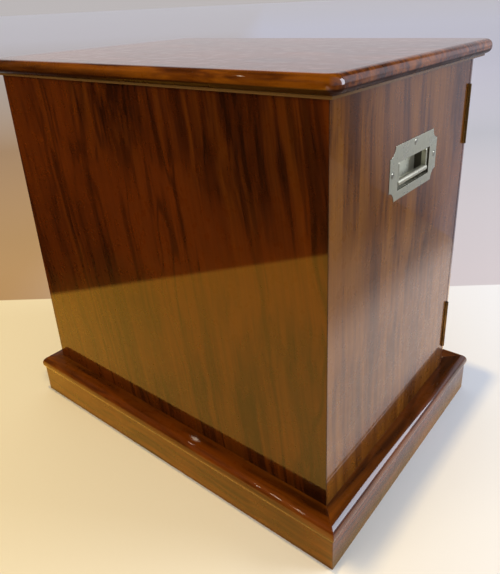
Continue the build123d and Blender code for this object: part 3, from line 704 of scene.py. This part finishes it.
def add_fitting_screws(metals):
    """Screws of the lock's link plate and of the moistener under the top lining."""
    low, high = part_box("link_plate")
    middle = (low + high) / 2
    face = high.y - 1.5 * MM
    rise = 12.0 * MM
    places = [facing((middle.x, face, middle.z + side * rise), (0, -1, 0), 0.6 + side) for side in (-1, 1)]
    slot_shade = metals["slot_shade"]
    screws("link_plate_screws", places, LINK_SCREW, metals["yellow"], slot_shade, "cabinet")

    low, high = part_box("moistener_case")
    middle = (low + high) / 2
    under = high.z - 1.0 * MM
    flange = 5.0 * MM
    apart = 25.0 * MM
    places = []
    for x in (low.x + flange, high.x - flange):
        for step in (-1, 1):
            places.append(facing((x, middle.y + step * apart, under), (0, 0, -1), 30 * x + step))
    screws("moistener_screws", places, MOISTENER_SCREW, metals["steel"], slot_shade, "cabinet")


# Knobs: the collar as shares of the head's radius with their heights, and lengths as shares of the whole
KNOB_STEPS = 40
KNOB_CENTRE = 0.8 * MM
KNOB_COLLAR = ((0.80, 0.0), (0.84, 0.6 * MM), (0.80, 1.3 * MM))
KNOB_NECK_FOOT = 1.6 * MM
KNOB_NECK_SHARE = 0.5
KNOB_RIM_SHARE = 0.62
KNOB_RIM = 0.6 * MM


def add_knobs(metals):
    """Turned knobs with a collar, a waisted neck and a domed head."""
    for number in range(1, 5):
        node = "drawer_%d_knob" % number
        low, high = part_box(node)
        middle = (low + high) / 2
        length = high.y - low.y
        head = (high.x - low.x) / 2
        profile = [(KNOB_CENTRE, 0.0)]
        profile += [(head * share, height) for share, height in KNOB_COLLAR]
        neck = length * KNOB_NECK_SHARE
        for k in range(7):
            t = k / 6
            waist = head * (0.55 - 0.10 * math.sin(math.pi * t) + 0.22 * max(0.0, t - 0.55))
            profile.append((waist, KNOB_NECK_FOOT + t * (neck - KNOB_NECK_FOOT)))
        rim = length * KNOB_RIM_SHARE
        for k in range(1, 6):
            t = k / 6 * math.pi / 2
            profile.append((head * (0.66 + 0.34 * math.sin(t)), neck + (rim - neck) * (1 - math.cos(t))))
        dome = rim + KNOB_RIM
        profile += [(head, rim), (head, dome)]
        for k in range(1, 9):
            t = k / 9 * math.pi / 2
            profile.append((head * math.cos(t), dome + (length - dome) * math.sin(t)))
        place = facing((middle.x, high.y, middle.z), (0, -1, 0))
        piece = "drawer_%d_turned_knob" % number
        mesh = spun(piece, profile, KNOB_STEPS, place)
        mesh.polygons.foreach_set("use_smooth", [True] * len(mesh.polygons))
        knob = mesh_object(piece, mesh, metals["yellow"], "drawer_%d" % number)
        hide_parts(node)


# Stage: floor, room, lamps and camera

PAPER_TOWARD = (math.cos(PAPER_TURN), math.sin(PAPER_TURN), 0.0)
PAPER_ALONG = (-PAPER_TOWARD[1], PAPER_TOWARD[0], 0.0)


def seen_from_cabinet(graph, out, run):
    """Where a far floor point lies, seen from the cabinet, on an upright plane at the paper's line."""
    foot_out, foot_run = CABINET_FOOT
    away = graph.math("MAXIMUM", graph.math("SUBTRACT", out, foot_out), LEAST_AWAY)
    share = graph.math("DIVIDE", PAPER_TO_WALL - foot_out, away)
    along = graph.math("ADD", graph.math("MULTIPLY", graph.math("SUBTRACT", run, foot_run), share), foot_run)
    rise = graph.math("MULTIPLY", graph.math("SUBTRACT", 1.0, share), CABINET_EYE)
    return along, rise


def mirror_ramp(graph, run, tones):
    """Mirrored tones at their places along the paper's line."""
    length = graph.add("ShaderNodeMapRange")
    graph.feed(length.inputs["Value"], run)
    length.inputs["From Min"].default_value = MIRROR_FROM
    length.inputs["From Max"].default_value = MIRROR_TO
    stops = [((place - MIRROR_FROM) / (MIRROR_TO - MIRROR_FROM), tone) for place, tone in tones]
    return graph.ramp(length.outputs["Result"], *stops)


def mirrored_wall(graph, along, rise):
    """What the polish sees where the room's wall would stand."""
    mirror = mirror_ramp(graph, along, MIRROR_WALL_RIGHT + MIRROR_WALL + MIRROR_OUTER_LEFT)
    low = graph.spread(rise, *LOW_RIGHT_HEIGHTS, 0.0, LOW_RIGHT_SHARE)
    low_right = graph.math("MULTIPLY", graph.spread(along, *LOW_RIGHT_PLACES), low)
    mirror = graph.blend(low_right, mirror, MIRROR_FAR_ROOM)
    above = graph.spread(rise, MIRROR_WALL_TOP, MIRROR_WALL_TOP + MIRROR_WALL_FADE)
    mirror = graph.blend(above, mirror, MIRROR_CEILING)
    tall = graph.math("MULTIPLY", graph.spread(rise, *HIGH_RIGHT_FROM), graph.spread(rise, *HIGH_RIGHT_TO))
    high_right = graph.math("MULTIPLY", graph.spread(along, *HIGH_RIGHT_PLACES), tall)
    return graph.blend(high_right, mirror, MIRROR_HIGH_RIGHT)


def floor_material():
    """Pale floor, painted warm on the lamp's side as lamp light, with wall tones painted past a line; the
    polish sees other tones, painted reflections.
    """
    graph = Graph("floor")
    out = graph.vector("DOT_PRODUCT", graph.place, PAPER_TOWARD)
    run = graph.vector("DOT_PRODUCT", graph.place, PAPER_ALONG)
    beyond = graph.spread(out, PAPER_TO_WALL - 1.0 * MM, PAPER_TO_WALL + 1.0 * MM)
    glossy = graph.add("ShaderNodeLightPath").outputs["Is Glossy Ray"]

    near = graph.ramp(graph.spread(run, *NEAR_TURNS_WARM), *NEAR_FLOOR)
    depth = graph.math("ADD", out, FAR_FADE - PAPER_TO_WALL)
    nearness = graph.math("DIVIDE", FAR_FADE, graph.math("MAXIMUM", depth, FAR_FADE))
    cool = graph.ramp(nearness, *FAR_COOL_SIDE)
    warm = graph.ramp(nearness, *FAR_WARM_SIDE)
    far = graph.blend(graph.spread(run, *FAR_TURNS_WARM), cool, warm)
    colour = graph.blend(beyond, near, far)
    grain = graph.noise(graph.place, 240.0, 3.0, 0.6)
    colour = graph.blend(0.03, colour, graph.ramp(grain, (0.3, (0.4,) * 3), (0.7, (0.6,) * 3)), "OVERLAY")

    mirror = mirror_ramp(graph, run, MIRROR_FLOOR + MIRROR_OUTER_LEFT)
    beside = graph.spread(graph.part(graph.place, "X"), *FLOOR_SIDE_X)
    mirror = graph.blend(beside, mirror, MIRROR_FLOOR_SIDE)
    slanted = graph.math("ADD", run, graph.math("MULTIPLY", out, FLOOR_SLANT))
    for start, end, share in FLOOR_SLANT_STEPS:
        mirror = graph.blend(graph.spread(slanted, start, end, 0.0, share), mirror, MIRROR_FAR_ROOM)
    mirror = graph.blend(beyond, mirror, (0.0, 0.0, 0.0))
    colour = graph.blend(glossy, colour, mirror)

    # Beyond the line the floor glows with the mirrored wall's tones for glossy rays only: a painted
    # reflection
    wall = mirrored_wall(graph, *seen_from_cabinet(graph, out, run))
    return graph.finish(
        Base_Color=colour,
        Roughness=0.85,
        Specular_IOR_Level=0.2,
        Emission_Color=wall,
        Emission_Strength=graph.math("MULTIPLY", graph.math("MULTIPLY", glossy, beyond), WALL_LIGHT),
    )


def add_floor():
    """One wide square for the whole stage."""
    sides = ((-1, -1), (1, -1), (1, 1), (-1, 1))
    mesh = bpy.data.meshes.new("floor")
    mesh.from_pydata([(x * FLOOR_REACH, y * FLOOR_REACH, 0.0) for x, y in sides], [], [(0, 1, 2, 3)])
    obj = bpy.data.objects.new("floor", mesh)
    bpy.context.scene.collection.objects.link(obj)
    obj.data.materials.append(floor_material())


# Lamps: what they look at, and small bulbs, two alone and five in a group about its middle
LAMP_TARGET = (0, 0, 0.2)
LONE_BULBS = ((1.17, 1.11, 1.54), (0.35, 1.75, 1.35))
BULB_GROUP = (0.69, 1.62, 1.09)
BULB_SPACING = (0.11, 0.10)
BULB_STEPS = ((0, 0), (1, 0.3), (-1, 0.2), (0.4, 1), (-0.6, 1.2))
BULB_SIZE = (0.03, 0.03)
BULB_POWER = 0.15


def area_lamp(name, place, target, size, power, colour, mirrored=True):
    light = bpy.data.lights.new(name, "AREA")
    light.shape = "RECTANGLE"
    light.size, light.size_y = size
    light.energy = power
    light.color = colour
    obj = bpy.data.objects.new(name, light)
    bpy.context.scene.collection.objects.link(obj)
    obj.location = place
    obj.rotation_euler = (Vector(target) - Vector(place)).to_track_quat("-Z", "Y").to_euler()
    obj.visible_glossy = mirrored


def light_scene():
    """A warm lamp overhead, a cool window, a warm fill, small bright bulbs and the room's own light."""
    area_lamp("warm_key", (-0.02, 0.15, 2.33), (0, 0, 0.1), (0.08, 0.08), 24.0, (1.0, 0.73, 0.34), False)
    area_lamp("cool_window", (-1.6, -1.1, 0.95), LAMP_TARGET, (0.9, 1.3), 32.0, (0.78, 0.85, 1.0))
    area_lamp("warm_fill", (0.6, 1.7, 1.1), LAMP_TARGET, (1.2, 1.0), 15.0, (1.0, 0.88, 0.72), False)
    x, y, z = BULB_GROUP
    wide, high = BULB_SPACING
    group = [(x + wide * across, y, z + high * up) for across, up in BULB_STEPS]
    for number, place in enumerate([*LONE_BULBS, *group]):
        area_lamp("bulb_%d" % number, place, LAMP_TARGET, BULB_SIZE, BULB_POWER, (1.0, 0.85, 0.62))
    bpy.context.scene.world = room_world()


def room_world():
    """An even pale room; for glossy rays it holds painted reflections: wall tones toward the line, else a
    dark room and a window's glow.
    """
    graph = Graph("room", True)
    side = graph.vector("DOT_PRODUCT", graph.place, WINDOW_SIDE)
    room = graph.ramp(side, (0.0, DARK_ROOM), (0.7, WINDOW_GLOW))
    forward = graph.vector("DOT_PRODUCT", graph.place, PAPER_TOWARD)
    sideways = graph.vector("DOT_PRODUCT", graph.place, PAPER_ALONG)
    foot_out, foot_run = CABINET_FOOT
    reach = graph.math("DIVIDE", PAPER_TO_WALL - foot_out, graph.math("MAXIMUM", forward, LEAST_FORWARD))
    along = graph.math("ADD", graph.math("MULTIPLY", sideways, reach), foot_run)
    rise = graph.math("ADD", graph.math("MULTIPLY", graph.part(graph.place, "Z"), reach), CABINET_TOP)
    wall = graph.vector("MULTIPLY", mirrored_wall(graph, along, rise), (WALL_LIGHT,) * 3)
    seen = graph.blend(graph.spread(forward, 0.0, FORWARD_FADE), room, wall)
    ray = graph.add("ShaderNodeLightPath").outputs
    light = graph.blend(ray["Is Camera Ray"], ROOM_LIGHT, SKY)
    background = graph.add("ShaderNodeBackground")
    graph.feed(background.inputs["Color"], graph.blend(ray["Is Glossy Ray"], light, seen))
    output = graph.add("ShaderNodeOutputWorld")
    graph.tree.links.new(background.outputs["Background"], output.inputs["Surface"])
    return graph.holder


def add_camera():
    """The photograph's camera, with the lens's middle a little off the picture's centre."""
    turn = Vector((math.cos(CAMERA_TURN), math.sin(CAMERA_TURN), 0.0))
    back = Vector((
        math.sin(CAMERA_TURN) * math.cos(CAMERA_TILT),
        -math.cos(CAMERA_TURN) * math.cos(CAMERA_TILT),
        math.sin(CAMERA_TILT),
    ))
    up = back.cross(turn)
    right = turn * math.cos(CAMERA_ROLL) + up * math.sin(CAMERA_ROLL)
    above = up * math.cos(CAMERA_ROLL) - turn * math.sin(CAMERA_ROLL)
    camera = bpy.data.cameras.new("camera")
    camera.sensor_fit = "AUTO"
    camera.sensor_width = SENSOR
    camera.lens = CAMERA_FOCAL_PIXELS * SENSOR / IMAGE_HEIGHT
    camera.shift_x = (IMAGE_WIDTH / 2 - CAMERA_CENTRE_PIXELS[0]) / IMAGE_HEIGHT
    camera.shift_y = (CAMERA_CENTRE_PIXELS[1] - IMAGE_HEIGHT / 2) / IMAGE_HEIGHT
    camera.clip_start = 0.01
    obj = bpy.data.objects.new("camera", camera)
    bpy.context.scene.collection.objects.link(obj)
    axes = Matrix((right, above, back)).transposed().to_4x4()
    obj.matrix_world = Matrix.Translation(CAMERA_PLACE) @ axes
    bpy.context.scene.camera = obj


add_camera()
dress_woods()
metals = dress_metals()
ease_all()
add_handle_screws(metals)
add_hinge_screws(metals)
add_fitting_screws(metals)
add_knobs(metals)
add_floor()
light_scene()
bpy.context.scene.view_settings.view_transform = "Standard"
